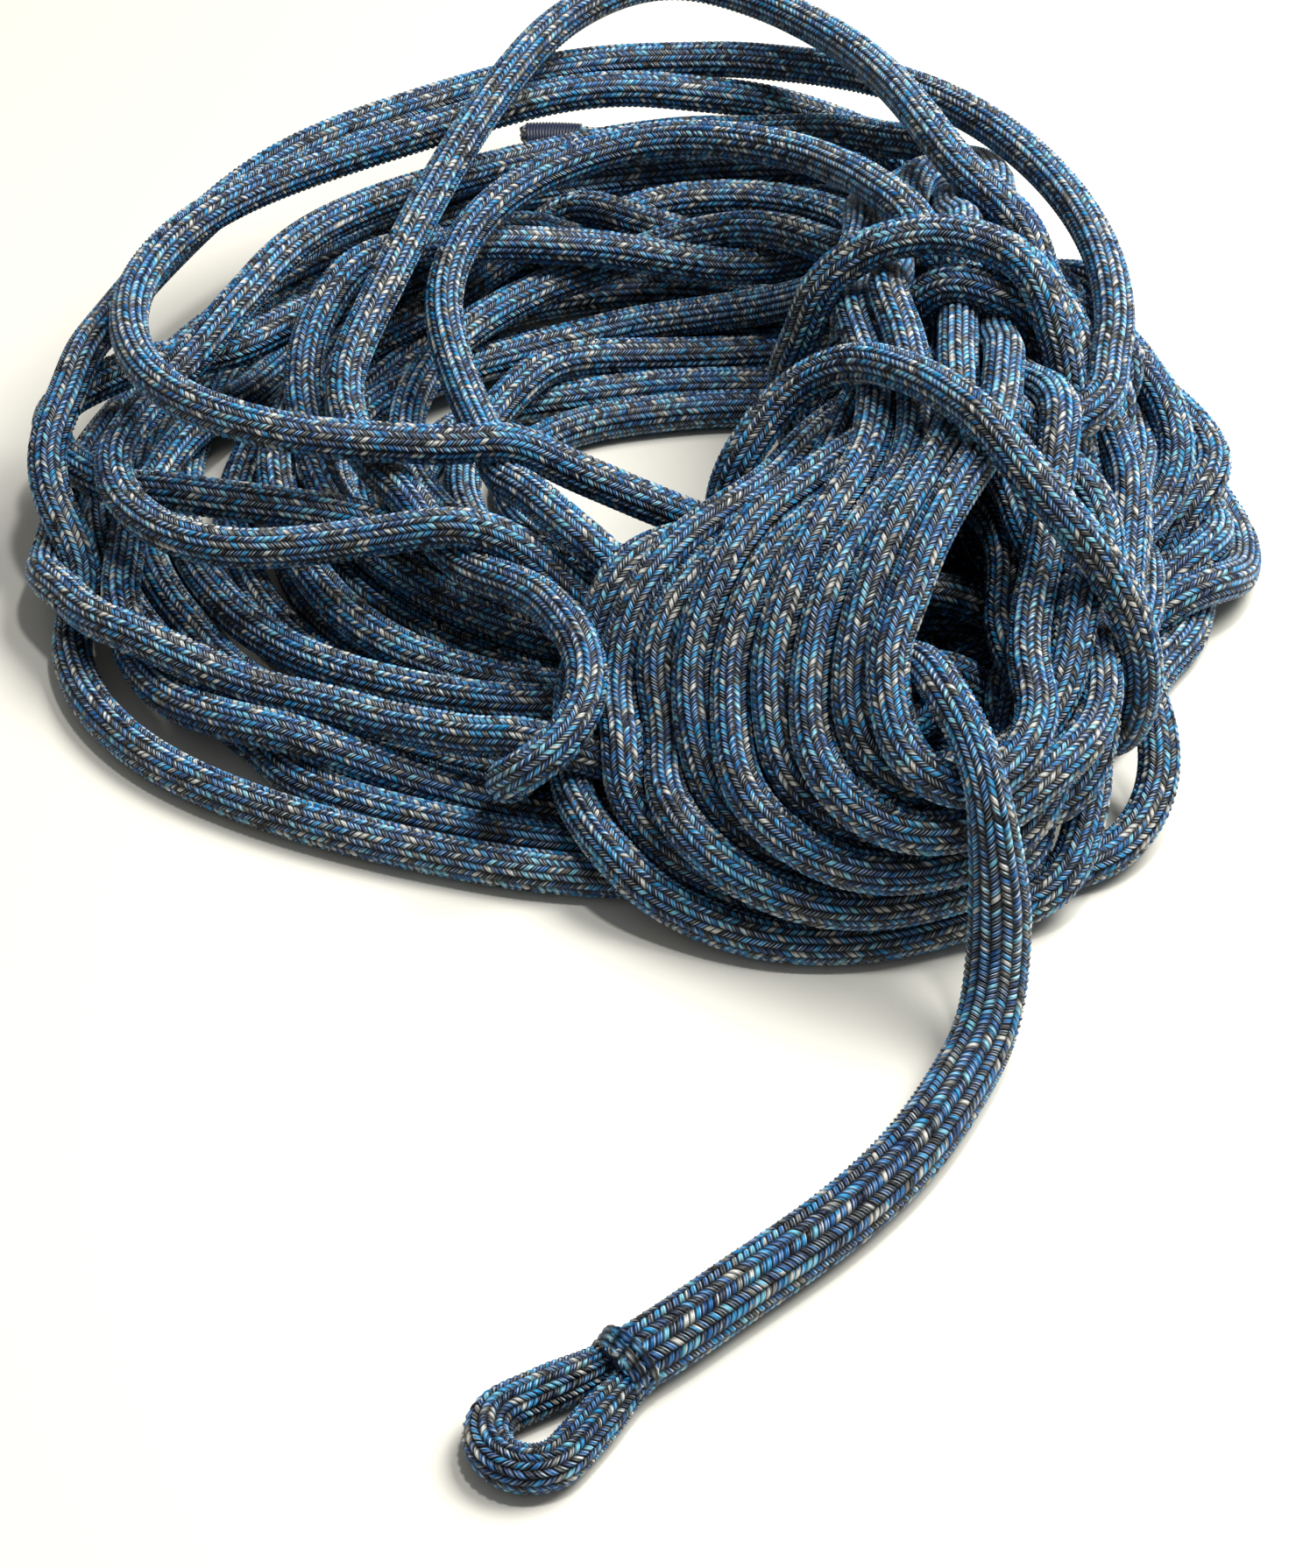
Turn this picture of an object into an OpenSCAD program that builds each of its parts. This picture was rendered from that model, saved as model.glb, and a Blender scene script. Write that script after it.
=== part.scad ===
// Coiled dock line: one double-braid rope made up as a hank, with a small spliced eye.

/* [Rope] */
// Diameter of the rope
rope_d = 10; // [9:0.5:11]
// Diameter of the tail where the splice is buried in it
bury_d = 14; // [13:0.5:15]
// Diameter of the tail of rope tucked back inside the splice
tuck_d = 9; // [7:0.5:10]
// Number of sides of a swept stretch of rope
rope_sides = 10; // [8:1:12]

/* [Coil] */
// Mean radius of the big lobe that lies flat
coil_r = 97; // [94:1:100]
// Width of the big lobe's pile of turns
coil_w = 94; // [88:1:100]
// Height of the big lobe's pile of turns
coil_h = 46; // [44:1:50]
// Radius of the rounded shoulders of the pile
shoulder_r = 20; // [14:1:22]
// Radius of the small lobe where it meets the ground
lobe_r = 46; // [42:1:48]
// Height of the small lobe
lobe_h = 58; // [52:1:62]
// Width of the bundle of turns in the neck
neck_w = 42; // [38:1:46]
// Height of the neck's top above the ground
neck_top = 86; // [82:1:90]
// Radius of the bunch of loops beside the neck
ears_r = 34; // [30:1:36]
// Height of the bunch of loops beside the neck
ears_h = 36; // [30:1:40]

/* [Eye] */
// Radius of the eye's centreline at its tip
eye_r = 8.5; // [8:0.5:10]
// Distance from the throat to the middle of the eye's round tip
eye_reach = 21.5; // [20:0.5:23]
// Width of the band of turns that closes the throat
band_w = 6; // [4:0.5:8]
// Thickness of the band of turns at the throat
band_t = 1.5; // [1:0.25:2]

/* [Bitter end] */
// Length of the whipping on the bitter end
whip_l = 16; // [12:1:20]
// Thickness of the whipping on the bitter end
whip_t = 0.75; // [0.5:0.25:1]

/* [Hidden] */

// The routes are laid out around a corner of the hank; this moves the middle of the whole to X = Y = 0
mid = [-1, 34, 0];
// A small gap that keeps neighbouring solids face to face without overlap
gap = 0.2;
rope_r = rope_d / 2;
bury_r = bury_d / 2;
// Directions that a steep route never runs along
sideways = [1, 0, 0];
across = [0, 1, 0];

// Middle of the big lobe, of the small lobe's base and top, of the neck and of the loops beside it
coil_at = [-12, 120, 0];
lobe_at = [44, -22, 0];
lobe_top_at = [64, -14, 0];
neck_at = [66, 84, 0];
neck_len = 96;
ears_at = [120, 86, 0];
lobe_base_h = 16;
lobe_top_r = 34;

// Routes of the stretches of rope that aren't in a coil, chosen by hand
stray_high = [[-68, 125, 52], [-56, 165, 58], [-42, 205, 62], [-23, 245, 64], [2, 265, 64], [26, 250, 66],
              [44, 225, 70], [58, 185, 80], [68, 142, 90]];
stray_right = [[57, 216, 58], [80, 188, 66], [99, 148, 70], [108, 106, 72], [107, 79, 72], [98, 54, 72],
               [88, 40, 68]];
side_route = [[106, 12, 30], [115, -4, 20], [112, -22, 10], [98, -36, 6], [84, -44, 6]];
lower_route = [[38, 86, 60], [46, 84, 76], [64, 82, 92], [82, 80, 80], [92, 76, 60]];
upper_route = [[32, 70, 62], [38, 68, 84], [50, 66, 98], [65, 66, 102], [80, 64, 97], [92, 60, 82], [98, 56, 60]];
cross_route = [[14, 44, 54], [20, 48, 60], [36, 52, 78], [54, 44, 92], [73, 14, 94], [90, -3, 84], [102, -8, 70],
               [108, -12, 54], [106, -20, 40]];
tail_route = [[50, -22, 60], [58, -37, 65], [66, -52, 62], [70, -66, 50]];
bury_route = [[70, -66, 50], [73, -72, 32], [73, -79, 15], [71, -90, 8], [66, -100, 7], [54, -124, 7],
              [37, -145, 7], [19, -161, 7], [2, -177, 7], [-3, -181, 7]];
end_route = [[-36, 271, 5], [-5, 276, 5], [30, 272, 5], [62, 260, 5], [92, 236, 5], [114, 204, 5]];

// The eye's throat, the way it points, and where its straight legs run
throat_at = [-8, -184.5, 0];
eye_turn = 223.5;
leg_side = rope_r - 0.5;
// The legs are this much thinner than the tip, so that they end cleanly inside it
leg_step = 0.15;
throat_reach = norm([eye_reach, leg_side]);
leg_turn = asin(eye_r / throat_reach) - atan(leg_side / eye_reach);
leg_len = sqrt(throat_reach * throat_reach - eye_r * eye_r);

// A ring of points around each point of a route, turned about the direction that aside gives, which no
// part of the route runs along
function unit(v) = v / norm(v);
function tangent(p, i) = unit(p[min(i + 1, len(p) - 1)] - p[max(i - 1, 0)]);
function ring(p, i, r, aside) =
    let (t = tangent(p, i), u = unit(cross(t, aside)), v = cross(u, t))
    [for (k = [0 : rope_sides - 1])
        p[i] + r * cos(360 * k / rope_sides) * u + r * sin(360 * k / rope_sides) * v];
function rings(p, r, aside) = [for (i = [0 : len(p) - 1]) each ring(p, i, r, aside)];
// The walls between n rings of points that start at point number s
function walls(n, s, inward) =
    [for (i = [0 : n - 2], k = [0 : rope_sides - 1])
        let (a = s + i * rope_sides + k, b = s + i * rope_sides + (k + 1) % rope_sides)
        inward ? [a, b, b + rope_sides, a + rope_sides] : [a, a + rope_sides, b + rope_sides, b]];

// A solid stretch of rope
module stretch(route, r, aside = [0, 0, 1]) {
    n = len(route);
    last = (n - 1) * rope_sides;
    polyhedron(
        points = rings(route, r, aside),
        faces = concat(walls(n, 0, false),
                       [[for (k = [0 : rope_sides - 1]) k]],
                       [[for (k = [rope_sides - 1 : -1 : 0]) last + k]]),
        convexity = 6);
}

// A hollow stretch of braided cover with open ends
module sleeve(route, r, bore, aside) {
    n = len(route);
    s = n * rope_sides;
    last = (n - 1) * rope_sides;
    polyhedron(
        points = concat(rings(route, r, aside), rings(route, bore, aside)),
        faces = concat(
            walls(n, 0, false), walls(n, s, true),
            [for (k = [0 : rope_sides - 1])
                let (m = (k + 1) % rope_sides) [k, m, s + m, s + k]],
            [for (k = [0 : rope_sides - 1])
                let (m = (k + 1) % rope_sides)
                [last + m, last + k, s + last + k, s + last + m]]),
        convexity = 8);
}

// Puts what is laid out around the hank's corner into the part's own frame
module placed() {
    translate(-mid) children();
}

// The domed section of the big lobe's pile, flat underneath
module pile_section(grow) {
    w = coil_w / 2 + grow;
    h = coil_h + grow;
    translate([coil_r, 0]) union() {
        translate([-w, 0]) square([2 * w, h - shoulder_r]);
        translate([-w + shoulder_r, 0]) square([2 * (w - shoulder_r), h]);
        for (side = [-1, 1])
            translate([side * (w - shoulder_r), h - shoulder_r]) circle(r = shoulder_r, $fn = 48);
    }
}

module pile(grow = 0) {
    translate(coil_at) rotate_extrude($fn = 128) pile_section(grow);
}

// The small lobe, a leaning stack of turns that narrows towards its top
module lobe_shape(grow = 0) {
    hull() {
        translate(lobe_at) cylinder(r = lobe_r + grow, h = lobe_base_h, $fn = 40);
        translate(lobe_top_at) cylinder(r = lobe_top_r + grow, h = lobe_h + grow, $fn = 32);
    }
}

// The bundle of turns that the finishing wraps hold, running front to back over the big lobe
module neck_shape() {
    translate([neck_at[0], neck_at[1] + neck_len / 2, 0]) rotate([90, 0, 0])
        linear_extrude(neck_len) union() {
            translate([-neck_w / 2, 0]) square([neck_w, neck_top - neck_w / 2]);
            translate([0, neck_top - neck_w / 2]) circle(r = neck_w / 2, $fn = 48);
        }
}

module coil_turns() {
    color("steelblue") placed() pile();
}

module lobe_turns() {
    color("cornflowerblue") placed() difference() {
        lobe_shape();
        pile(gap);
    }
}

module neck_turns() {
    color("royalblue") placed() difference() {
        neck_shape();
        pile(gap);
        lobe_shape(gap);
    }
}

module ear_loops() {
    color("slateblue") placed() difference() {
        translate(ears_at) cylinder(r = ears_r, h = ears_h, $fn = 64);
        translate(coil_at) cylinder(r = coil_r + coil_w / 2 + gap, h = 2 * ears_h, center = true, $fn = 128);
    }
}

module stray_loop_high() {
    color("dodgerblue") placed() stretch(stray_high, rope_r);
}

module stray_loop_right() {
    color("deepskyblue") placed() stretch(stray_right, rope_r);
}

module side_loop() {
    color("deepskyblue") placed() stretch(side_route, rope_r);
}

module finishing_wrap_lower() {
    color("mediumblue") placed() stretch(lower_route, rope_r, across);
}

module finishing_wrap_upper() {
    color("navy") placed() stretch(upper_route, rope_r, across);
}

module crossing_turn() {
    color("midnightblue") placed() stretch(cross_route, rope_r, [1, 1, 0]);
}

module tail() {
    color("dodgerblue") placed() stretch(tail_route, rope_r, sideways);
}

module splice_cover() {
    color("steelblue") placed() sleeve(bury_route, bury_r, tuck_d / 2 + gap, sideways);
}

module splice_tuck() {
    color("lightgray") placed() stretch(bury_route, tuck_d / 2, sideways);
}

// The eye's frame: the throat at the origin, the eye along +X, lying on the ground
module at_throat() {
    placed() translate([throat_at[0], throat_at[1], rope_r]) rotate([0, 0, eye_turn]) children();
}

module eye() {
    color("cornflowerblue") at_throat() union() {
        translate([eye_reach, 0, 0]) rotate([0, 0, -90 - leg_turn])
            rotate_extrude(angle = 180 + 2 * leg_turn, $fn = 96)
                translate([eye_r, 0]) circle(r = rope_r, $fn = 48);
        for (side = [-1, 1])
            translate([0, side * leg_side, 0]) rotate([0, 0, side * leg_turn]) rotate([0, 90, 0])
                cylinder(r = rope_r - leg_step, h = leg_len + 3 * gap, $fn = 48);
        translate([-band_w, 0, 0]) rotate([0, 90, 0]) linear_extrude(band_w + gap) legs_outline(-band_t);
    }
}

// The stadium outline of both legs side by side
module legs_outline(grow) {
    union() {
        for (side = [-1, 1])
            translate([0, side * leg_side]) circle(r = rope_r + grow, $fn = 48);
        square([2 * (rope_r + grow), 2 * leg_side], center = true);
    }
}

module throat_band() {
    color("lightsteelblue") at_throat() translate([-band_w, 0, 0]) rotate([0, 90, 0]) linear_extrude(band_w)
        difference() {
            legs_outline(0);
            legs_outline(-band_t);
        }
}

module bitter_end() {
    color("steelblue") placed() stretch(end_route, rope_r);
}

module end_whipping() {
    t = unit(end_route[1] - end_route[0]);
    color("midnightblue") placed() translate(end_route[0] + [0, 0, whip_t]) rotate([0, 90, atan2(t[1], t[0])])
        translate([0, 0, -1]) difference() {
            cylinder(r = rope_r + whip_t, h = whip_l, $fn = 48);
            translate([0, 0, -1]) cylinder(r = rope_r, h = whip_l + 2, $fn = 48);
        }
}

coil_turns();
lobe_turns();
neck_turns();
ear_loops();
stray_loop_high();
stray_loop_right();
side_loop();
finishing_wrap_lower();
finishing_wrap_upper();
crossing_turn();
tail();
splice_cover();
splice_tuck();
throat_band();
eye();
bitter_end();
end_whipping();
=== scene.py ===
"""The look of a coiled dock line: a blue flecked double-braid rope made up as a hank, with a spliced eye."""
import math

import bpy
import numpy as np
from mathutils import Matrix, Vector


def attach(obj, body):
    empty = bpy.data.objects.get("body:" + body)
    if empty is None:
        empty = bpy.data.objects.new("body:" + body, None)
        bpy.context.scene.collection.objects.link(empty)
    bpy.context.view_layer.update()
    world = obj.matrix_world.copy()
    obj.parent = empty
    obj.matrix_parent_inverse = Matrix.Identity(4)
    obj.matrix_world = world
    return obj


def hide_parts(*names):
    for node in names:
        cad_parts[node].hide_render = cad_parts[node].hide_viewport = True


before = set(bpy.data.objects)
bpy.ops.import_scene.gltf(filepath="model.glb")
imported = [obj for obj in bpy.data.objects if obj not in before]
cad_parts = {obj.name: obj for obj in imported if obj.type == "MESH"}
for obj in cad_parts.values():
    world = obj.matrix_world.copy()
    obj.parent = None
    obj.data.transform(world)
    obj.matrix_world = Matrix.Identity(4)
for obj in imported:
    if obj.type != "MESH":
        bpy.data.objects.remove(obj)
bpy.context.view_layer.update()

# ---------------------------------------------------------------------------------------------------
# Sizes, in millimetres until a mesh is made
# ---------------------------------------------------------------------------------------------------
MM = 0.001
ROPE_D = 10.0                    # the rope
BURY_D = 14.0                    # the tail where the splice is buried in it
BANDS = 16                       # herringbone bands round the rope: 32 carriers, 16 each way
MID = np.array([-1.0, 34.0, 0.0])            # what part.scad calls mid

# ---------------------------------------------------------------------------------------------------
# Camera
# ---------------------------------------------------------------------------------------------------
CAMERA_AT = (0.0, -0.7277, 0.6107)           # from the corner of the hank that the route is laid out around
LENS = 95.5


def make_camera():
    data = bpy.data.cameras.new("camera")
    data.lens = LENS
    data.sensor_width = 36.0
    camera = bpy.data.objects.new("camera", data)
    bpy.context.scene.collection.objects.link(camera)
    camera.location = Vector(CAMERA_AT) - Vector(MID * MM)
    camera.rotation_euler = (-Vector(CAMERA_AT)).to_track_quat("-Z", "Y").to_euler()
    bpy.context.scene.camera = camera


make_camera()

# ---------------------------------------------------------------------------------------------------
# The line's route: one list of points from the bitter end to the splice's throat
# ---------------------------------------------------------------------------------------------------
# Gates across the big lobe's pile, clockwise from under the small lobe: the pile's inner edge and outer
# edge on the ground, and its height there
GATES = [((74, 46), (72, -20), 22), ((14, 54), (14, -36), 24), ((-36, 62), (-50, -28), 36),
         ((-58, 76), (-116, -2), 40), ((-70, 98), (-146, 50), 44), ((-70, 130), (-146, 118), 46),
         ((-54, 152), (-118, 190), 48), ((-22, 160), (-58, 238), 50), ((14, 160), (8, 262), 50),
         ((46, 150), (64, 258), 50), ((64, 136), (100, 222), 52)]
LOBES = 9                        # turns that go round the small lobe
# Where each of those turns passes down and up through the neck: X and height
DOWN_SLOTS = [(80, 78), (70, 80), (60, 78), (51, 74), (76, 68), (66, 68), (56, 66), (48, 60), (50, 48)]
UP_SLOTS = [(82, 58), (84, 46), (74, 56), (82, 34), (72, 44), (64, 56), (72, 32), (62, 44), (62, 30)]


def pile_turn(seed, across, up, sway, gates=range(11)):
    """A turn of the big lobe: how far across the pile (0 inside, 1 outside), up it, and how far it sways."""
    random = np.random.RandomState(seed)
    phase = random.rand(4) * 2 * math.pi
    rate = random.rand(2) * 0.7 + 0.6
    points = []
    for g in gates:
        (xi, yi), (xo, yo), height = GATES[g]
        u = across + sway * math.sin(phase[0] + rate[0] * g) * (1.0 if g > 1 else 0.5)
        u = min(max(u, 0.0), 1.0)
        level = up + 0.14 * math.sin(phase[1] + rate[1] * g)
        dome = 1 - 0.55 * (2 * u - 1) ** 2
        z = 5 + (height - 5) * min(max(level, 0.0), 1.0) * dome
        points.append((xi + (xo - xi) * u, yi + (yo - yi) * u, z))
    return points


def into_neck(x, z):
    return [(x + 4, 150, z * 0.8 + 8), (x, 118, z), (x, 80, z)]


def lobe_turn(k):
    """Down the left of the small lobe, round its foot and up its right: 0 is the innermost and highest."""
    t = k / (LOBES - 1)
    left = (50 - 70 * t, -36 + 36 * t, 60 - 38 * t)
    foot = (62 - 36 * t, -62 + 2 * t + 7 * (k % 2), 46 - 40 * t)
    right = (82 + 8 * t, -42 + 2 * t + 5 * (k % 2), 46 - 34 * t)
    top = (74 - 56 * t, 26 + 12 * t, 84 - 34 * t)
    shoulder = ((left[0] + top[0]) / 2 - 3 - 9 * t, (left[1] + top[1]) / 2, (left[2] + top[2]) / 2 + 7)
    before = (left[0] * 0.72 + foot[0] * 0.28 - 4, left[1] * 0.35 + foot[1] * 0.65,
              (left[2] + foot[2]) / 2 - 1)
    after = ((foot[0] + right[0]) / 2 + 2, (foot[1] + right[1]) / 2 - 5, (foot[2] + right[2]) / 2)
    return [top, shoulder, left, before, foot, after, right]


def back_up(k):
    t = k / (LOBES - 1)
    x, z = UP_SLOTS[k]
    return [(92 + 4 * (k % 3 - 1), -18, 34 + 14 * (1 - t)), (90 + 4 * (k % 2), 14, 44 + 16 * (1 - t)),
            (86, 46, z + 6), (x, 80, z), (x + 2, 108, z)]


def ear(x, z, shift):
    """From behind the neck out to the right and down, then in under the small lobe."""
    return [(x - 40, 122 + shift, z + 14), (x - 14, 110 + shift, z + 6), (x, 90 + shift, max(z - 2, 6)),
            (x - 12, 70 + shift * 0.5, 8 + 0.25 * z), (x - 46, 58 + shift * 0.4, 6 + 0.2 * z)]


# The stretches given point by point. The side loop, the tail and the end are part.scad's too. Its strays, wraps and
# crossing turn stand clear of its coil solids instead, 4 to 25 mm from these
END = [(-36, 271, 5), (-5, 276, 5), (30, 272, 5), (62, 260, 5), (92, 236, 5), (114, 204, 5), (124, 165, 5),
       (122, 125, 5), (114, 80, 5), (95, 45, 5)]
LEFT_LOW = [(66, 20, 14), (14, 38, 18), (-10, 43, 26), (-38, 53, 34), (-72, 63, 32), (-114, 74, 30),
            (-146, 90, 28), (-152, 112, 30), (-133, 122, 34), (-105, 126, 35), (-80, 150, 38)]
LEFT_HIGH = [(66, 40, 16), (30, 62, 20), (3, 69, 28), (-26, 70, 42), (-55, 68, 48), (-85, 66, 52),
             (-117, 84, 52), (-129, 117, 50), (-124, 151, 48), (-100, 187, 46), (-57, 215, 45),
             (-11, 237, 45)]
WAVY = [(66, 10, 12), (30, 12, 14), (-5, 21, 24), (-30, 41, 38), (-54, 48, 38), (-80, 44, 36), (-101, 45, 34),
        (-118, 56, 32), (-132, 80, 32)]
TO_BIGHT = [(80, 150, 60), (96, 118, 50), (112, 92, 34), (104, 60, 20), (66, 24, 12), (18, 2, 10),
            (-14, -12, 12), (-36, -20, 15)]
BIGHT = [(-42, -29, 24), (-30, -33, 30), (-17, -22, 34), (-12, -4, 38), (-18, 16, 38), (-33, 33, 36),
         (-50, 50, 34), (-77, 95, 42)]
STRAY_HIGH = [(-68, 125, 50), (-56, 165, 56), (-42, 205, 60), (-23, 245, 62), (2, 265, 62), (26, 250, 64),
              (44, 225, 68), (58, 185, 78), (68, 142, 86), (82, 108, 78)]
BEHIND = [(98, 80, 50), (104, 50, 30), (60, 30, 34), (20, 22, 42)]
INNER_ARC = [(-1, 22, 42), (-22, 42, 46), (-37, 73, 42), (-48, 111, 38), (-54, 140, 42), (-46, 168, 47),
             (-29, 186, 50), (1, 196, 54), (34, 177, 62), (50, 147, 72), (60, 118, 80), (78, 96, 72)]
SIDE_LOOP = [(98, 86, 50), (104, 56, 44), (104, 30, 36), (106, 12, 30), (115, -4, 20), (112, -22, 10),
             (98, -36, 6), (84, -44, 6), (60, -44, 6)]
OUTER = [(14, -40, 5), (-49, -27, 5), (-87, -15, 5), (-118, 3, 6), (-141, 38, 10), (-148, 75, 22),
         (-140, 120, 40), (-110, 180, 48), (-60, 225, 50), (-10, 248, 50)]
STRAY_RIGHT = [(20, 246, 48), (57, 216, 60), (80, 188, 66), (99, 148, 70), (108, 106, 72), (107, 79, 70),
               (98, 54, 68), (88, 40, 60)]
WRAPS = [(80, 50, 36), (62, 66, 14), (46, 74, 12), (38, 78, 30), (42, 83, 58), (52, 87, 70), (64, 86, 80),
         (75, 81, 82), (88, 74, 72), (95, 76, 45), (88, 88, 16), (62, 96, 8), (38, 94, 18), (33, 86, 45),
         (36, 84, 68), (44, 88, 84), (53, 89, 92), (65, 91, 95), (77, 86, 93), (88, 74, 86), (94, 56, 72),
         (92, 44, 52), (72, 50, 26), (40, 56, 14), (22, 56, 24), (15, 45, 42)]
CROSSING = [(20, 48, 58), (28, 60, 68), (42, 60, 78), (59, 42, 86), (73, 14, 90), (85, -3, 84), (97, -8, 72),
            (104, -12, 56), (102, -18, 42), (94, -14, 28)]
INWARD = [(78, 0, 22), (58, 6, 28), (46, -4, 42)]
TAIL = [(50, -22, 60), (58, -37, 65), (66, -52, 62), (70, -66, 50), (73, -72, 32), (73, -79, 15),
        (71, -90, 8), (66, -100, 7), (54, -124, 7), (37, -145, 7), (19, -161, 7), (2, -177, 7), (-8, -184.5, 7)]
TAIL_BURY_FROM = 3               # the point of TAIL from which the buried splice thickens it
BURY_TAPER = 26.0                # how far the tail takes to thicken

# Low turns that close behind the neck: across the pile, up it, then X and height of the loop on the right
LOW_TURNS = [(0.97, 0.0, 112, 5), (0.03, 0.0, 106, 5), (0.5, 0.0, 98, 6), (0.85, 0.05, 112, 15),
             (0.12, 0.1, 100, 16), (0.68, 0.12, 110, 26), (0.3, 0.2, 100, 26), (0.9, 0.3, 108, 36),
             (0.05, 0.25, 98, 36), (0.45, 0.4, 104, 46)]
# The turns that go round the small lobe: across the pile, then X, height and shift of the loop on the right
HIGH_TURNS = [(0.3, 108, 16, 0), (0.75, 146, 8, 0), (0.5, 102, 34, 4), (0.15, 138, 18, -4), (0.9, 112, 30, 4),
              (0.62, 142, 26, 4), (0.4, 104, 46, -6), (0.8, 130, 34, 4), (0.25, 108, 50, 0)]


def whole_route():
    """Every point of the route, and each stretch's first point and kind: free, held or laid."""
    points, stretches = [], []

    def lay(kind, more):
        stretches.append((len(points), kind))
        points.extend(more)

    lay("free", END)
    for i, (across, up, x, z) in enumerate(LOW_TURNS):
        if i > 0:
            lay("held", [(x - 18, 150, z + 4), (x - 4, 122, z + 2), (x, 92, z), (x - 8, 60, 0.6 * z + 3)])
        lay("free", pile_turn(11 + i, across, up, 0.07 if i else 0.03))
    for i, k in enumerate(range(LOBES - 1, -1, -1)):
        across, x, z, shift = HIGH_TURNS[i]
        up = 0.42 + 0.06 * i
        lay("held", into_neck(*DOWN_SLOTS[k]))
        lay("laid", lobe_turn(k))
        lay("held", back_up(k))
        lay("held", ear(x, z, shift))
        if k == 5:
            lay("laid", LEFT_LOW + pile_turn(31 + k, 0.4, up, 0.12, range(7, 11)))
        elif k == 3:
            lay("laid", LEFT_HIGH + pile_turn(31 + k, 0.8, 0.8, 0.12, range(9, 11)))
        elif k == 1:
            lay("laid", WAVY + pile_turn(31 + k, 0.6, 0.8, 0.12, range(5, 11)))
        else:
            lay("free", pile_turn(31 + k, across, up, 0.12))
    lay("held", TO_BIGHT)
    lay("laid", BIGHT)
    lay("laid", STRAY_HIGH)
    lay("held", BEHIND)
    lay("laid", INNER_ARC)
    lay("laid", SIDE_LOOP)
    lay("held", OUTER)
    lay("laid", STRAY_RIGHT)
    lay("laid", WRAPS)
    lay("laid", CROSSING)
    lay("held", INWARD)
    lay("laid", TAIL)
    return np.array(points, float), stretches


def smooth_curve(points, step):
    """A centripetal Catmull-Rom curve cut to equal steps, and the number of the point each step follows."""
    p = np.vstack([2 * points[0] - points[1], points, 2 * points[-1] - points[-2]])
    d = np.linalg.norm(np.diff(p, axis=0), axis=1)
    t = np.concatenate([[0], np.cumsum(np.sqrt(d))])
    runs, of_point = [], []
    for i in range(1, len(p) - 2):
        n = max(2, int(d[i]))
        t0, t1, t2, t3 = t[i - 1:i + 3]
        s = np.linspace(t1, t2, n, endpoint=False)[:, None]
        a1 = ((t1 - s) * p[i - 1] + (s - t0) * p[i]) / (t1 - t0)
        a2 = ((t2 - s) * p[i] + (s - t1) * p[i + 1]) / (t2 - t1)
        a3 = ((t3 - s) * p[i + 1] + (s - t2) * p[i + 2]) / (t3 - t2)
        b1 = ((t2 - s) * a1 + (s - t0) * a2) / (t2 - t0)
        b2 = ((t3 - s) * a2 + (s - t1) * a3) / (t3 - t1)
        runs.append(((t2 - s) * b1 + (s - t1) * b2) / (t2 - t1))
        of_point.append(np.full(n, i - 1))
    fine = np.vstack(runs + [p[-2][None]])
    of_point = np.concatenate(of_point + [[len(points) - 1]])
    along = np.concatenate([[0], np.cumsum(np.linalg.norm(np.diff(fine, axis=0), axis=1))])
    at = np.linspace(0, along[-1], int(along[-1] / step) + 1)
    line = np.stack([np.interp(at, along, fine[:, a]) for a in range(3)], axis=1)
    return line, of_point[np.clip(np.searchsorted(along, at), 0, len(of_point) - 1)]


# ---------------------------------------------------------------------------------------------------
# Settling: the line is a chain of beads that push each other and the ground away
# ---------------------------------------------------------------------------------------------------
STEP = 4.0                       # between beads
ROUNDS = 600
NEAR = 1.5 * ROPE_D              # beads this close are watched for touching


def close_pairs(p, reach, skip):
    """The pairs of beads closer than reach, apart from those next to each other on the line."""
    cell = np.floor(p / reach).astype(np.int64)
    cell -= cell.min(0) - 1
    size = cell.max(0) + 3
    key = (cell[:, 0] * size[1] + cell[:, 1]) * size[2] + cell[:, 2]
    order = np.argsort(key, kind="stable")
    sorted_key = key[order]
    first, second = [], []
    for dx in (-1, 0, 1):
        for dy in (-1, 0, 1):
            for dz in (-1, 0, 1):
                shift = (dx * size[1] + dy) * size[2] + dz
                if shift < 0:
                    continue
                lo = np.searchsorted(sorted_key, key + shift, "left")
                count = np.searchsorted(sorted_key, key + shift, "right") - lo
                i = np.repeat(np.arange(len(p)), count)
                start = np.repeat(lo - np.concatenate([[0], np.cumsum(count)[:-1]]), count)
                j = order[start + np.arange(count.sum())]
                keep = (np.abs(i - j) > skip) & ((j > i) | (shift > 0))
                i, j = i[keep], j[keep]
                keep = ((p[i] - p[j]) ** 2).sum(1) < reach * reach
                first.append(i[keep])
                second.append(j[keep])
    return np.concatenate(first), np.concatenate(second)


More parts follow.
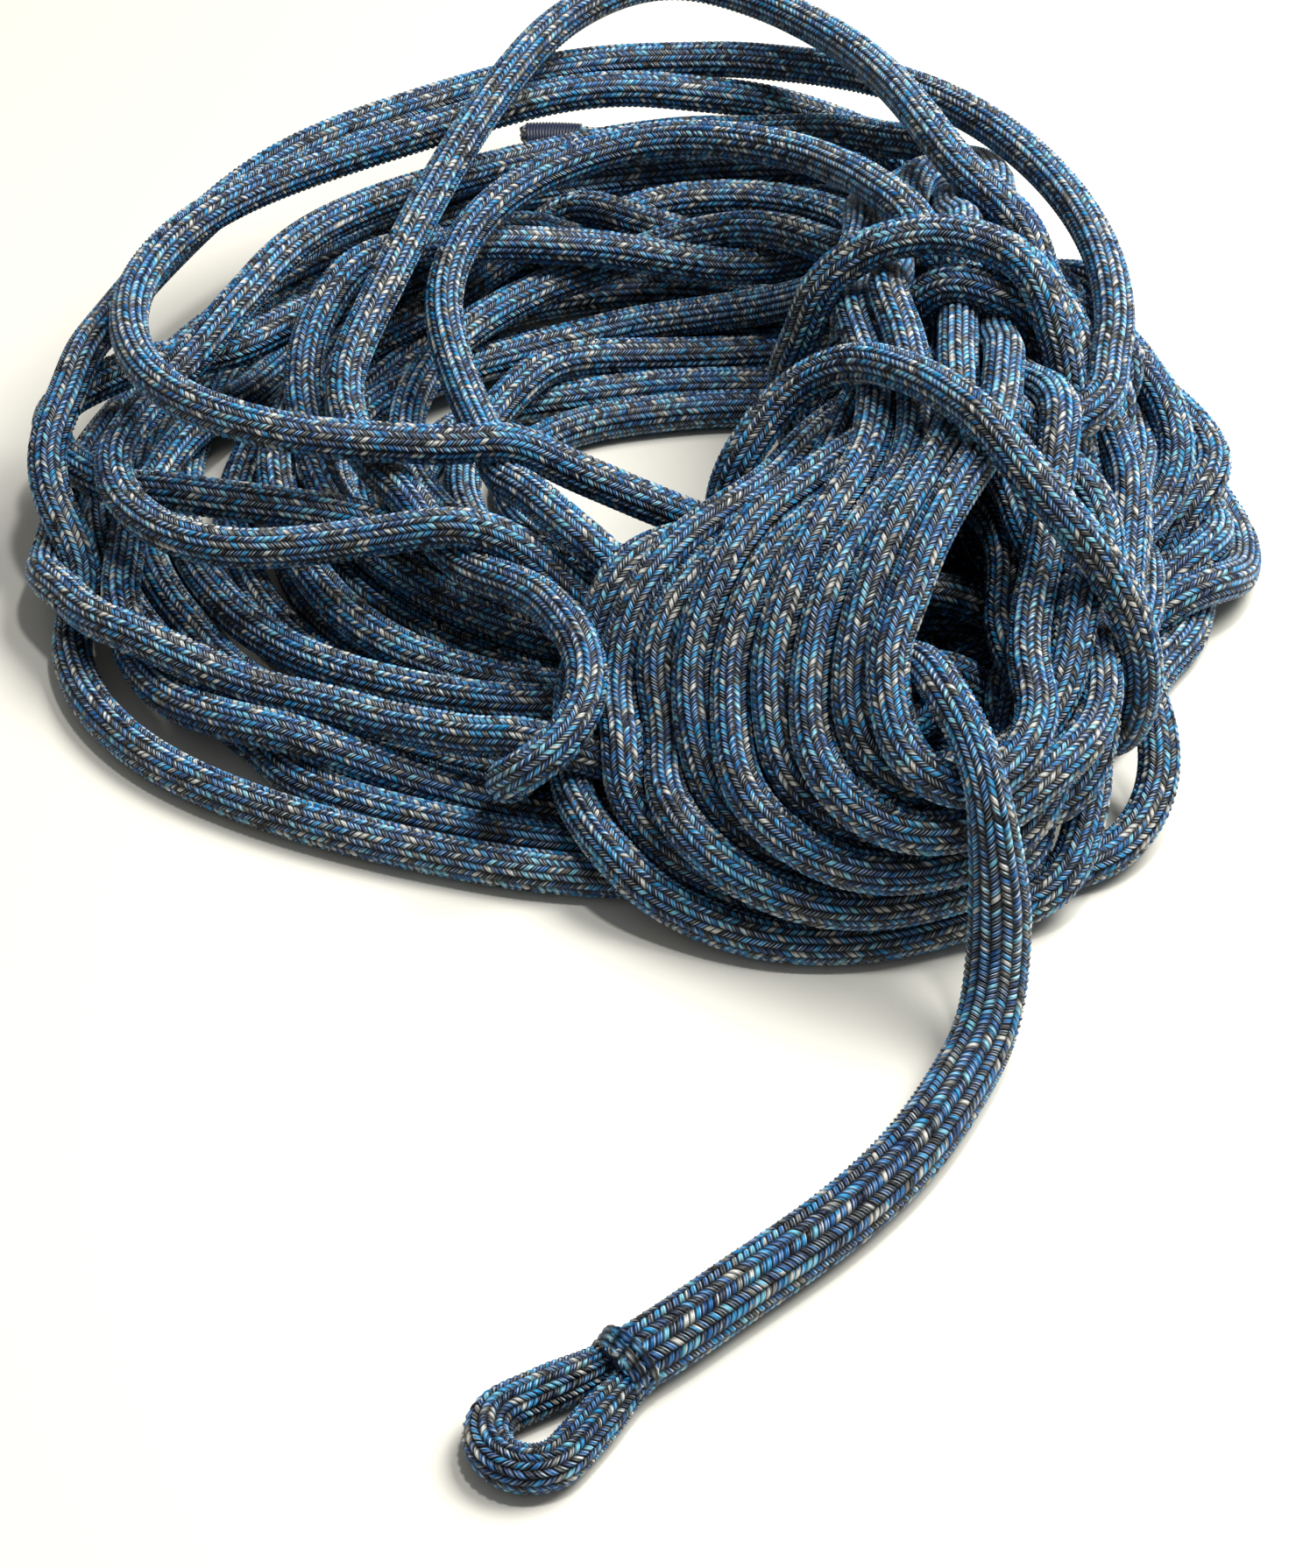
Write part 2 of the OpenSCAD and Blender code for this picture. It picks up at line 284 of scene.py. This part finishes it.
def settle(line, radius, pull, stiff, rest):
    """Pulls each bead to its place while the line keeps its length, bends stay open and strands push apart."""
    p, home, n = line.copy(), line.copy(), len(line)
    skip = math.ceil(1.9 * ROPE_D / STEP)
    open_bend = STEP * STEP / (2 * 2.0 * ROPE_D)
    for turn in range(ROUNDS):
        last = turn > 0.8 * ROUNDS
        ease = 0.3 if last else 1.0
        if turn % 6 == 0:
            first, second = close_pairs(p, NEAR, skip)
        p += (home - p) * pull[:, None] * ease
        p[:, 2] -= 0.10 * ease
        bend = np.zeros_like(p)
        bend[1:-1] = (p[:-2] + p[2:]) / 2 - p[1:-1]
        even = bend.copy()
        even[1:-1] -= (bend[:-2] + bend[2:]) / 2
        p += 0.25 * even
        size = np.linalg.norm(bend, axis=1)
        p += 0.5 * (np.maximum(size - open_bend, 0) / np.maximum(size, 1e-9))[:, None] * bend
        far = 5
        p[far:-far] += stiff[far:-far, None] * ((p[:-2 * far] + p[2 * far:]) / 2 - p[far:-far])
        for parity in (0, 1):
            a = np.arange(parity, n - 1, 2)
            d = p[a + 1] - p[a]
            length = np.linalg.norm(d, axis=1)
            move = (0.45 * (length - rest[a]) / np.maximum(length, 1e-9))[:, None] * d
            p[a] += move
            p[a + 1] -= move
        for _ in range(2):
            d = p[second] - p[first]
            gap = np.linalg.norm(d, axis=1)
            touch = gap < radius[first] + radius[second]
            i, j, d, gap = first[touch], second[touch], d[touch], gap[touch]
            push = (0.5 * (radius[i] + radius[j] - gap) / np.maximum(gap, 1e-6))[:, None] * d
            total = np.stack([np.bincount(j, push[:, a], n) - np.bincount(i, push[:, a], n)
                              for a in range(3)], 1)
            count = np.bincount(i, minlength=n) + np.bincount(j, minlength=n)
            p += total / np.maximum(count, 1)[:, None] ** 0.6
        p[:, 2] = np.maximum(p[:, 2], radius)
    return p


def settled_line():
    """The settled line's beads, each one's radius, and the first bead of the buried splice."""
    points, stretches = whole_route()
    line, of_point = smooth_curve(points, STEP)
    starts = np.array([s for s, _ in stretches])
    kinds = np.array([k for _, k in stretches])[np.searchsorted(starts, of_point, "right") - 1]
    bury = of_point >= starts[-1] + TAIL_BURY_FROM
    grown = np.clip(np.cumsum(bury) * STEP / BURY_TAPER, 0, 1)
    grown[-2:] *= (0.8, 0.5)     # the splice closes in at the throat
    radius = ROPE_D / 2 + grown * (BURY_D - ROPE_D) / 2
    pull = np.select([kinds == "free", kinds == "held"], [0.006, 0.02], 0.06)
    stiff = np.where(kinds == "free", 0.05, 0.01)
    rest = np.where(kinds == "free", STEP * 0.985, STEP)
    return settle(line, radius, pull, stiff, rest), radius, int(np.argmax(bury))


# ---------------------------------------------------------------------------------------------------
# Braid meshes. A band is a herringbone column along the rope, and a row is one float along a band. Rows
# slant across each band, up in even bands and down in odd ones, and the mesh's own rings follow that slant.
# ---------------------------------------------------------------------------------------------------
ROPE_TURN = 50.0                 # degrees between the yarns and the rope's length
BURY_TURN = 60.0                 # the same where the buried splice spreads the cover
FINE = 1.0                       # between the points of a smoothed centreline


class Line:
    """A centreline with a frame that doesn't twist, measured in rows of braid."""

    def __init__(self, points, radius, turn_degrees, smoothing=24):
        s = np.concatenate([[0], np.cumsum(np.linalg.norm(np.diff(points, axis=0), axis=1))])
        at = np.linspace(0, s[-1], int(s[-1] / FINE) + 1)
        line = np.stack([np.interp(at, s, points[:, a]) for a in range(3)], axis=1)
        kernel = np.array([1, 4, 6, 4, 1]) / 16.0
        for _ in range(smoothing):
            padded = np.pad(line, ((2, 2), (0, 0)), mode="reflect", reflect_type="odd")
            line = np.stack([np.convolve(padded[:, a], kernel, "valid") for a in range(3)], axis=1)
        self.at, self.line, self.bead_at = at, line, s
        self.radius = np.interp(at, s, np.broadcast_to(radius, s.shape))
        turn = np.radians(np.interp(at, s, np.broadcast_to(turn_degrees, s.shape)))
        pitch = 2 * math.pi * self.radius / BANDS / np.tan(turn)
        self.rows = np.concatenate([[0], np.cumsum((1 / pitch[1:] + 1 / pitch[:-1]) / 2 * np.diff(at))])
        tangent = np.gradient(line, axis=0)
        tangent /= np.linalg.norm(tangent, axis=1)[:, None]
        self.side = np.zeros_like(line)
        normal = np.cross(tangent[0], [0.0, 0.0, 1.0])
        for i, t in enumerate(tangent):
            normal = normal - t * (normal @ t)
            normal /= np.linalg.norm(normal)
            self.side[i] = normal
        self.over = np.cross(tangent, self.side)

    def row_at_bead(self, number):
        return float(np.interp(self.bead_at[number], self.at, self.rows))

    def sample(self, rows):
        """Place, two square directions and radius at each row number."""
        flat = np.ravel(rows)
        out = [np.stack([np.interp(flat, self.rows, v[:, a]) for a in range(3)], 1).reshape(rows.shape + (3,))
               for v in (self.line, self.side, self.over)]
        return (*out, np.interp(flat, self.rows, self.radius).reshape(rows.shape))

    def path(self, row_a, row_b):
        """The centreline between two rows, in metres in the part's frame."""
        return (self.sample(np.arange(row_a, row_b + 0.5))[0] - MID) * MM


def new_piece(name, points, faces, smooth=True, uv=None, material=None):
    """An object from points in the route's millimetres and one array of faces or a list of them."""
    if not isinstance(faces, list):
        faces = [faces]
    loops = np.concatenate([f.ravel() for f in faces])
    totals = np.concatenate([np.full(len(f), f.shape[1]) for f in faces])
    mesh = bpy.data.meshes.new(name)
    mesh.vertices.add(len(points))
    mesh.vertices.foreach_set("co", ((points - MID) * MM).astype(np.float32).ravel())
    mesh.loops.add(len(loops))
    mesh.loops.foreach_set("vertex_index", loops.astype(np.int32))
    mesh.polygons.add(len(totals))
    mesh.polygons.foreach_set("loop_start", np.concatenate([[0], np.cumsum(totals)[:-1]]).astype(np.int32))
    if uv is not None:
        mesh.uv_layers.new(name="yarns").data.foreach_set("uv", uv.astype(np.float32).ravel())
    mesh.update(calc_edges=True)
    mesh.polygons.foreach_set("use_smooth", np.full(len(mesh.polygons), smooth))
    if material is not None:
        mesh.materials.append(material)
    piece = bpy.data.objects.new(name, mesh)
    bpy.context.scene.collection.objects.link(piece)
    return piece


def tube_faces(count, around):
    """The walls of a tube of rings, and a fan over each end whose middle points come after the rings."""
    i, j = np.meshgrid(np.arange(count - 1), np.arange(around), indexing="ij")
    i, j = i.ravel(), j.ravel()
    turned = (j + 1) % around
    walls = np.stack([i * around + j, i * around + turned, (i + 1) * around + turned,
                      (i + 1) * around + j], 1)
    ring = np.arange(around)
    turned = (ring + 1) % around
    last = (count - 1) * around
    ends = np.vstack([np.stack([np.full(around, count * around), turned, ring], 1),
                      np.stack([np.full(around, count * around + 1), last + ring, last + turned], 1)])
    return walls, ends


def braided(name, line, row_a, row_b, material, rows_each=3, cols=3, relief=0.5, shrink=0.32):
    """A closed tube of braid between two row numbers, with every float standing up from the creases."""
    around = BANDS * cols
    col = np.arange(around + 1)
    band = col / cols
    inside = band % 1.0
    slant = np.where(np.floor(band) % 2 == 0, inside, 1 - inside)
    count = int(round((row_b - row_a) * rows_each)) + 1
    row = row_a + np.arange(count) / rows_each
    place, side, over, radius = line.sample(row[:, None] + slant[None, :-1])
    late = (np.floor(band) % 2) / 3.0            # the bands that slant the other way lie a third of a row on
    crown = np.sin(np.pi * ((row[:, None] + late[None, :-1]) % 1.0)) ** 0.7
    arch = np.sin(np.pi * inside[:-1])[None, :] ** 0.8
    lift = relief * (1.6 * crown * arch - 1.0)
    angle = 2 * math.pi * band[:-1] / BANDS
    out = (radius - shrink + lift)[..., None]
    points = place + out * (np.cos(angle)[None, :, None] * side + np.sin(angle)[None, :, None] * over)
    middles = np.stack([points[0].mean(0), points[-1].mean(0)])
    walls, ends = tube_faces(count, around)
    i, j = walls[:, 0] // around, walls[:, 0] % around
    low, high = row[i] + late[j], row[i + 1] + late[j]
    uv = np.stack([np.stack([band[j], low], 1), np.stack([band[j + 1], low], 1),
                   np.stack([band[j + 1], high], 1), np.stack([band[j], high], 1)], axis=1)
    end_uv = np.full((len(ends) * 3, 2), row_a + 0.5)
    uv = np.concatenate([uv.reshape(-1, 2), end_uv])
    return new_piece(name, np.vstack([points.reshape(-1, 3), middles]), [walls, ends], uv=uv,
                     material=material)


# ---------------------------------------------------------------------------------------------------
# Materials
# ---------------------------------------------------------------------------------------------------
class Nodes:
    """A short way to write a node tree."""

    def __init__(self, name):
        self.material = bpy.data.materials.new(name)
        self.material.use_nodes = True
        self.tree = self.material.node_tree
        self.shader = self.tree.nodes["Principled BSDF"]

    def put(self, socket, value):
        if isinstance(value, bpy.types.NodeSocket):
            self.tree.links.new(value, socket)
        else:
            socket.default_value = value

    def maths(self, operation, a, b=None, c=None):
        node = self.tree.nodes.new("ShaderNodeMath")
        node.operation = operation
        for socket, value in zip(node.inputs, (a, b, c)):
            if value is not None:
                self.put(socket, value)
        return node.outputs[0]

    def split(self, vector):
        node = self.tree.nodes.new("ShaderNodeSeparateXYZ")
        self.put(node.inputs[0], vector)
        return node.outputs[0], node.outputs[1]

    def join(self, x, y, z):
        node = self.tree.nodes.new("ShaderNodeCombineXYZ")
        for socket, value in zip(node.inputs, (x, y, z)):
            self.put(socket, value)
        return node.outputs[0]

    def chance(self, x, y, z):
        """A random number from 0 to 1 for each whole-numbered place."""
        node = self.tree.nodes.new("ShaderNodeTexWhiteNoise")
        node.noise_dimensions = "3D"
        self.put(node.inputs["Vector"], self.join(x, y, z))
        return node.outputs["Value"]

    def noise(self, vector, scale, detail=2.0):
        node = self.tree.nodes.new("ShaderNodeTexNoise")
        self.put(node.inputs["Vector"], vector)
        node.inputs["Scale"].default_value = scale
        node.inputs["Detail"].default_value = detail
        return node.outputs["Fac"]

    def ramp(self, factor, stops, interpolation="CONSTANT"):
        """A colour ramp of (from, colour) stops."""
        node = self.tree.nodes.new("ShaderNodeValToRGB")
        node.color_ramp.interpolation = interpolation
        self.put(node.inputs[0], factor)
        elements = node.color_ramp.elements
        while len(elements) < len(stops):
            elements.new(1.0)
        for element, (at, colour) in zip(elements, stops):
            element.position = at
            element.color = (*colour, 1)
        return node.outputs[0]

    def mix(self, factor, a, b, blend="MIX"):
        node = self.tree.nodes.new("ShaderNodeMix")
        node.data_type = "RGBA"
        node.blend_type = blend
        self.put(node.inputs[0], factor)
        self.put(node.inputs[6], a)
        self.put(node.inputs[7], b)
        return node.outputs[2]

    def bump(self, height, strength, distance):
        node = self.tree.nodes.new("ShaderNodeBump")
        node.inputs["Strength"].default_value = strength
        node.inputs["Distance"].default_value = distance
        self.put(node.inputs["Height"], height)
        self.put(self.shader.inputs["Normal"], node.outputs[0])


# Dyed polyester yarns, in linear colour: the blue carriers and the grey ones
BLUES = [(0.00, (0.002, 0.014, 0.060)), (0.20, (0.002, 0.062, 0.250)), (0.42, (0.002, 0.175, 0.540)),
         (0.70, (0.008, 0.390, 0.840)), (0.90, (0.220, 0.720, 0.960))]
GREYS = [(0.00, (0.008, 0.010, 0.016)), (0.30, (0.060, 0.060, 0.056)), (0.52, (0.260, 0.255, 0.235)),
         (0.72, (0.860, 0.840, 0.770))]
WHITES = [(0.00, (0.560, 0.550, 0.500)), (0.50, (0.680, 0.670, 0.620))]


def yarn_grid(n):
    """Where a point is in the weave: band, row, and how far across the band and the row it lies."""
    uv = n.tree.nodes.new("ShaderNodeUVMap")
    uv.uv_map = "yarns"
    across, along = n.split(uv.outputs[0])
    band, row = n.maths("FLOOR", across), n.maths("FLOOR", along)
    return across, along, band, row, n.maths("SUBTRACT", across, band), n.maths("SUBTRACT", along, row)


def braid_material(name, blues, greys, grey_share=0.25, bands=BANDS, yarns=2):
    """Floats of parallel yarns whose colours change along each carrier of the braid."""
    n = Nodes(name)
    across, along, band, row, on_float, over_float = yarn_grid(n)
    family = n.maths("MODULO", band, 2.0)
    slope = n.maths("MULTIPLY_ADD", family, 2.0, -1.0)
    carrier = n.maths("FLOORED_MODULO", n.maths("MULTIPLY_ADD", band, slope, row), float(bands))
    carrier = n.maths("MULTIPLY_ADD", family, 30.0, carrier)
    yarn = n.maths("FLOOR", n.maths("MULTIPLY", over_float, float(yarns)))
    # patches along the rope where the grey carriers gather
    turn = n.maths("MULTIPLY", across, 2 * math.pi / bands)
    round_rope = n.join(n.maths("SINE", turn), n.maths("COSINE", turn), n.maths("MULTIPLY", along, 0.30))
    patch = n.noise(round_rope, 0.9, 1.0)
    # each carrier keeps its colour for a few rows, and a few of the yarns have one of their own
    start = n.maths("MULTIPLY", n.chance(carrier, 3.0, 7.0), 9.0)
    length = n.maths("FLOOR", n.maths("DIVIDE", n.maths("ADD", row, start), 4.0))
    own_start = n.maths("MULTIPLY", n.chance(carrier, yarn, 5.0), 9.0)
    own_length = n.maths("FLOOR", n.maths("DIVIDE", n.maths("ADD", row, own_start), 2.0))
    is_own = n.maths("GREATER_THAN", n.chance(carrier, own_length, n.maths("ADD", yarn, 20.0)), 0.85)
    pick = n.maths("MULTIPLY_ADD", is_own, n.maths("ADD", own_length, 100.0),
                   n.maths("MULTIPLY", n.maths("SUBTRACT", 1.0, is_own), length))
    yarn_key = n.maths("MULTIPLY", is_own, n.maths("ADD", yarn, 1.0))
    tone = n.chance(carrier, pick, n.maths("ADD", yarn_key, 40.0))
    grey = n.chance(carrier, pick, n.maths("ADD", yarn_key, 60.0))
    leaning = n.maths("MULTIPLY_ADD", n.maths("SUBTRACT", patch, 0.5), 1.6, grey_share)
    is_grey = n.maths("LESS_THAN", grey, leaning)
    colour = n.mix(is_grey, n.ramp(tone, blues), n.ramp(tone, greys))
    # fine filaments run along each yarn and vary a little in tone
    filaments = n.noise(n.join(n.maths("MULTIPLY_ADD", band, 3.7, n.maths("MULTIPLY", on_float, 0.7)),
                               n.maths("MULTIPLY", along, 9.0), 0.0), 2.4, 3.0)
    tint = n.ramp(filaments, [(0.25, (0.42, 0.42, 0.42)), (0.75, (1.0, 1.0, 1.0))], "LINEAR")
    colour = n.mix(0.6, colour, tint, "MULTIPLY")
    # painted shade: the colour is darkened in the creases between floats and between a float's two yarns, which hold
    # less light than their crowns
    in_yarn = n.maths("FRACT", n.maths("MULTIPLY", over_float, float(yarns)))
    round_yarn = n.maths("SINE", n.maths("MULTIPLY", in_yarn, math.pi))
    crown = n.maths("SINE", n.maths("MULTIPLY", over_float, math.pi))
    arch = n.maths("SINE", n.maths("MULTIPLY", on_float, math.pi))
    shade = n.maths("MULTIPLY", n.maths("POWER", crown, 1.0), n.maths("POWER", arch, 1.2))
    shade = n.maths("MULTIPLY", n.maths("MULTIPLY_ADD", shade, 1.02, 0.02),
                    n.maths("MULTIPLY_ADD", round_yarn, 0.22, 0.78))
    colour = n.mix(1.0, colour, n.join(shade, shade, shade), "MULTIPLY")
    # painted highlight: a pale blue-white streak is mixed into the colour along each yarn's crown, stronger on some
    # floats than others
    painted_highlight = n.maths("MULTIPLY", n.maths("POWER", round_yarn, 7.0), n.maths("POWER", arch, 2.0))
    highlight_strength = n.maths("MULTIPLY", n.chance(carrier, row, n.maths("ADD", yarn, 80.0)), 0.75)
    colour = n.mix(n.maths("MULTIPLY", painted_highlight, highlight_strength), colour, (0.74, 0.88, 0.96, 1.0))
    n.put(n.shader.inputs["Base Color"], colour)
    n.shader.inputs["Roughness"].default_value = 0.32
    n.shader.inputs["Specular IOR Level"].default_value = 0.4
    height = n.maths("ADD", n.maths("MULTIPLY", n.maths("POWER", round_yarn, 0.7), 0.8),
                     n.maths("MULTIPLY", filaments, 0.45))
    n.bump(height, 0.9, 0.00028)
    return n.material


def twine_material(name):
    """Waxed whipping twine: a dark navy cord with a fine twist."""
    n = Nodes(name)
    across, along, band, row, on_float, over_float = yarn_grid(n)
    twist = n.maths("SINE", n.maths("MULTIPLY_ADD", across, 2.2 * math.pi,
                                    n.maths("MULTIPLY", along, 2 * math.pi)))
    dust = n.noise(n.join(across, along, 0.0), 3.0, 3.0)
    colour = n.ramp(dust, [(0.3, (0.006, 0.012, 0.035)), (0.7, (0.016, 0.030, 0.080))], "LINEAR")
    # painted shade: the colour darkens along the grooves of the twist
    shade = n.maths("MULTIPLY_ADD", twist, 0.12, 0.88)
    n.put(n.shader.inputs["Base Color"], n.mix(1.0, colour, n.join(shade, shade, shade), "MULTIPLY"))
    n.shader.inputs["Roughness"].default_value = 0.42
    n.bump(n.maths("ADD", n.maths("MULTIPLY", twist, 0.6), dust), 0.5, 0.0001)
    return n.material


cover = braid_material("cover_braid", BLUES, GREYS)
core = braid_material("core_braid", WHITES, WHITES)
twine = twine_material("whipping_twine")

# ---------------------------------------------------------------------------------------------------
# The line, cut into pieces that a viewer can load one by one
# ---------------------------------------------------------------------------------------------------
beads, radius, bury_bead = settled_line()
bury_share = (radius - ROPE_D / 2) / (BURY_D / 2 - ROPE_D / 2)
whole = Line(beads, radius, ROPE_TURN + (BURY_TURN - ROPE_TURN) * bury_share)

ROWS_IN_PIECE = 660              # rows of braid in one piece of the line
TAIL_ROWS = 46                   # rows of the tail's own piece, from the small lobe to the buried splice
end_row = math.floor(whole.rows[-1])
bury_row = math.floor(whole.row_at_bead(bury_bead))
tail_row = bury_row - TAIL_ROWS


def declare(piece, line, row_a, row_b, diameter, far_end, exit_at_start=True, slot="cover_braid", **more):
    path = line.path(row_a, row_b)
    length = float(np.linalg.norm(np.diff(path, axis=0), axis=1).sum())
    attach(piece, "root")
    return length


def follow(piece, slot, *nodes):
    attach(piece, "root")
    if nodes:
        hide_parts(*nodes)


def whipping():
    """Turns of twine laid side by side round the bitter end."""
    start, turns, twine_d, around, each = 1.6, 18, 0.85, 48, 6
    at = start + np.arange(turns * each + 1) / each * twine_d
    rows = np.interp(at, whole.at, whole.rows)
    place, side, over, _ = whole.sample(rows[:, None] * np.ones((1, around)))
    angle = 2 * math.pi * np.arange(around) / around
    step = np.arange(len(at))[:, None] / each
    ridge = np.abs(np.sin(np.pi * (step + angle[None, :] / (2 * math.pi))))
    out = ROPE_D / 2 + 0.05 + twine_d * 0.62 * np.sqrt(ridge)
    out[0, :] = out[-1, :] = ROPE_D / 2 - 0.6
    points = place + out[..., None] * (np.cos(angle)[None, :, None] * side
                                       + np.sin(angle)[None, :, None] * over)
    walls, ends = tube_faces(len(at), around)
    i, j = walls[:, 0] // around, walls[:, 0] % around
    corner = [(0, 0), (1, 0), (1, 1), (0, 1)]
    uv = np.stack([np.stack([(j + a) / 4.0, (i + b) / each], 1) for a, b in corner], axis=1).reshape(-1, 2)
    uv = np.concatenate([uv, np.zeros((len(ends) * 3, 2))])
    middles = np.stack([points[0].mean(0), points[-1].mean(0)])
    return new_piece("whipping_turns", np.vstack([points.reshape(-1, 3), middles]), [walls, ends], uv=uv,
                     material=twine)


# The eye's own frame: the throat at the origin, the eye along +X, lying on the ground
THROAT_AT = np.array([-8.0, -184.5, ROPE_D / 2])
EYE_TURN = math.radians(223.5)
EYE_R = 8.5                      # of the centreline at the round tip
EYE_REACH = 21.5                 # from the throat to the middle of the round tip
LEG_SIDE = 3.9                   # each leg's distance from the middle at the throat
LEGS_IN = 9.0                    # how far the legs run on inside the splice
BAND_W = 6.0
BAND_STRANDS = 3


def from_throat(points):
    x, y = np.cos(EYE_TURN), np.sin(EYE_TURN)
    turn = np.array([[x, y, 0], [-y, x, 0], [0, 0, 1]])
    return np.asarray(points, float) @ turn + THROAT_AT


def eye_line():
    """Out along one leg, round the tip and back along the other."""
    reach = math.hypot(EYE_REACH, LEG_SIDE)
    lean = math.asin(EYE_R / reach) - math.atan(LEG_SIDE / EYE_REACH)
    arc = np.linspace(-math.pi / 2 - lean, math.pi / 2 + lean, 36)
    tip = [(EYE_REACH + EYE_R * math.cos(a), EYE_R * math.sin(a), 0.0) for a in arc]
    leg_in = [(-LEGS_IN, -2.4, 1.6), (-LEGS_IN / 2, -3.4, 1.0), (0.0, -LEG_SIDE, 0.2)]
    leg_out = [(x, -y, z) for x, y, z in reversed(leg_in)]
    points, _ = smooth_curve(np.array(leg_in + tip + leg_out), 1.0)
    pressed = 0.8 * np.clip(1 - points[:, 0] / 9.0, 0, 1)
    return Line(from_throat(points), ROPE_D / 2 - pressed, ROPE_TURN + 4, smoothing=1)


def throat_band():
    """Strands of the cover gathered round both legs where the splice closes."""
    around, each = 96, 8
    points, faces, uvs = [], [], []
    for k in range(BAND_STRANDS):
        x0 = -BAND_W + 1.4 + k * (BAND_W - 2.2) / (BAND_STRANDS - 1)
        thick = 0.9
        turn = np.linspace(0, 2 * math.pi, around, endpoint=False)
        wide, tall = 6.9 - 0.1 * k, 5.9 - 0.5 * k
        ring = np.stack([x0 + 0.8 * np.sin(turn + 0.9 * k), wide * np.cos(turn),
                         tall - 3.6 + tall * np.sin(turn)], 1)
        tangent = np.roll(ring, -1, axis=0) - np.roll(ring, 1, axis=0)
        tangent /= np.linalg.norm(tangent, axis=1)[:, None]
        lengthwise = np.cross(tangent, [1.0, 0.0, 0.0])
        outward = lengthwise / np.linalg.norm(lengthwise, axis=1)[:, None]
        along = np.cross(outward, tangent)
        a = 2 * math.pi * np.arange(each) / each
        r = thick * (1 + 0.16 * np.cos(2 * a[None, :] - 18 * turn[:, None]))
        tube = ring[:, None] + r[..., None] * (np.cos(a)[None, :, None] * outward[:, None]
                                               + np.sin(a)[None, :, None] * along[:, None])
        i, j = np.meshgrid(np.arange(around), np.arange(each), indexing="ij")
        i, j = i.ravel(), j.ravel()
        inext, jnext = (i + 1) % around, (j + 1) % each
        base = k * around * each
        faces.append(base + np.stack([i * each + j, i * each + jnext, inext * each + jnext,
                                      inext * each + j], 1))
        points.append(from_throat(tube.reshape(-1, 3)))
        along_uv, across_uv = (i, i, i + 1, i + 1), (j, j + 1, j + 1, j)
        uvs.append(np.stack([np.stack([u * 14.0 / around + 2 * k, v * 2.0 / each + 5 * k], 1)
                             for u, v in zip(along_uv, across_uv)], axis=1).reshape(-1, 2))
    return new_piece("throat_strands", np.vstack(points), np.vstack(faces), uv=np.vstack(uvs), material=cover)


cuts = list(range(0, tail_row - ROWS_IN_PIECE // 2, ROWS_IN_PIECE)) + [tail_row]
whip = whipping()
follow(whip, "whipping_twine", "end_whipping")
for number, (row_a, row_b) in enumerate(zip(cuts[:-1], cuts[1:])):
    piece = braided(f"line_{number + 1:02d}", whole, row_a, row_b, cover)
    if number == 0:
        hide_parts("bitter_end", "coil_turns", "ear_loops", "neck_turns", "lobe_turns",
                    "stray_loop_high", "stray_loop_right", "side_loop", "finishing_wrap_lower", "finishing_wrap_upper",
                    "crossing_turn")
        declare(piece, whole, row_a, row_b, ROPE_D, "bare", exit_at_start=False,
                               with_pieces=[whip])
    else:
        declare(piece, whole, row_a, row_b, ROPE_D, "object")

tail = braided("tail_run", whole, tail_row, bury_row, cover, rows_each=4, cols=6)
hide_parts("tail")
declare(tail, whole, tail_row, bury_row, ROPE_D, "object")

eye_path = eye_line()
eye = braided("eye_loop", eye_path, 0, math.floor(eye_path.rows[-1]), cover, rows_each=6, cols=6, relief=0.5)
follow(eye, "cover_braid", "eye")
band = throat_band()
follow(band, "throat_braid", "throat_band")
splice = braided("splice", whole, bury_row, end_row, cover, rows_each=6, cols=6, relief=0.5)
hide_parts("splice_cover")
declare(splice, whole, bury_row, end_row, BURY_D, "knot", with_pieces=[eye, band])
tuck_line = Line(beads[bury_bead + 4:], 4.2, ROPE_TURN)
tuck = braided("splice_tuck_core", tuck_line, 1, math.floor(tuck_line.rows[-1]) - 2, core, shrink=0.1,
               relief=0.25)
follow(tuck, "core_braid", "splice_tuck")

# ---------------------------------------------------------------------------------------------------
# Floor and light
# ---------------------------------------------------------------------------------------------------


def make_floor():
    size = 4.0
    mesh = bpy.data.meshes.new("floor")
    mesh.from_pydata([(-size, -size, 0), (size, -size, 0), (size, size, 0), (-size, size, 0)], [],
                     [(0, 1, 2, 3)])
    floor = bpy.data.objects.new("floor", mesh)
    bpy.context.scene.collection.objects.link(floor)
    n = Nodes("floor")
    place = n.tree.nodes.new("ShaderNodeTexCoord")
    tone = n.noise(place.outputs["Object"], 1.3)
    n.put(n.shader.inputs["Base Color"],
          n.ramp(tone, [(0.35, (0.68, 0.665, 0.60)), (0.65, (0.72, 0.705, 0.64))], "LINEAR"))
    n.shader.inputs["Roughness"].default_value = 0.5
    mesh.materials.append(n.material)


def make_light(name, place, size, power, colour):
    data = bpy.data.lights.new(name, "AREA")
    data.shape = "RECTANGLE"
    data.size, data.size_y = size
    data.energy = power
    data.color = colour
    light = bpy.data.objects.new(name, data)
    light.location = place
    light.rotation_euler = (-Vector(place)).to_track_quat("-Z", "Y").to_euler()
    bpy.context.scene.collection.objects.link(light)


make_floor()
make_light("key", (0.70, 0.25, 1.2), (0.9, 0.7), 33.0, (1.0, 0.99, 0.96))
make_light("glint", (0.25, -0.15, 1.6), (0.14, 0.14), 9.0, (1.0, 1.0, 1.0))
world = bpy.data.worlds.new("world")
world.use_nodes = True
world.node_tree.nodes["Background"].inputs[0].default_value = (1.0, 0.985, 0.96, 1)
world.node_tree.nodes["Background"].inputs[1].default_value = 0.25
bpy.context.scene.world = world
bpy.context.scene.view_settings.view_transform = "Standard"
